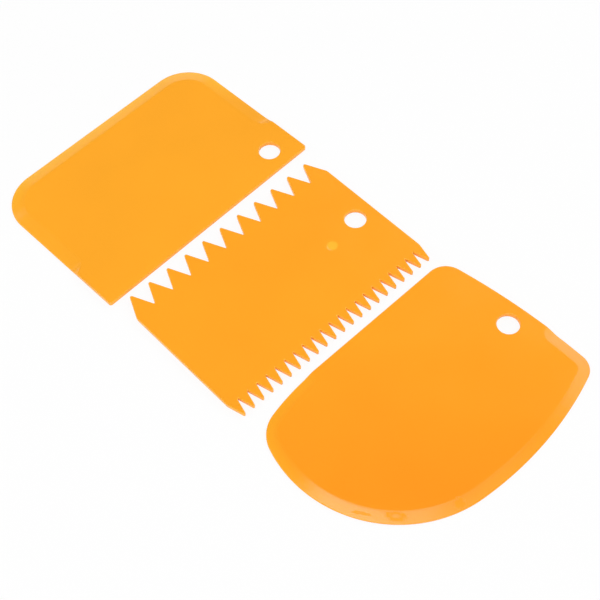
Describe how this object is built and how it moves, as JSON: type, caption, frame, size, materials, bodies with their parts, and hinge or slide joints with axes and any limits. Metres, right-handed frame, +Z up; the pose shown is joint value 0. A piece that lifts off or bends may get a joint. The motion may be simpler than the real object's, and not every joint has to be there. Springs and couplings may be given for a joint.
{
  "type": "icing smoother",
  "caption": "Set of flat plastic icing smoothers and dough scrapers: a straight smooth scraper, a comb toothed along both long edges and a curved bowl scraper, with hanging holes.",
  "frame": {"origin": "middle of the set's bounding box, on the surface that the plates lie on", "axes": "+Z up from the surface, +Y along the row from the curved scraper to the smooth scraper, +X to the side that has the hanging holes"},
  "size_m": [0.1228, 0.2496, 0.002],
  "materials": {
    "orange_plastic": "semi-gloss moulded polypropylene, warm orange-yellow, a little light passes through it"
  },
  "bodies": {
    "root": {"smooth_scraper": "orange_plastic", "toothed_comb": "orange_plastic", "curved_scraper": "orange_plastic"}
  },
  "joints": []
}
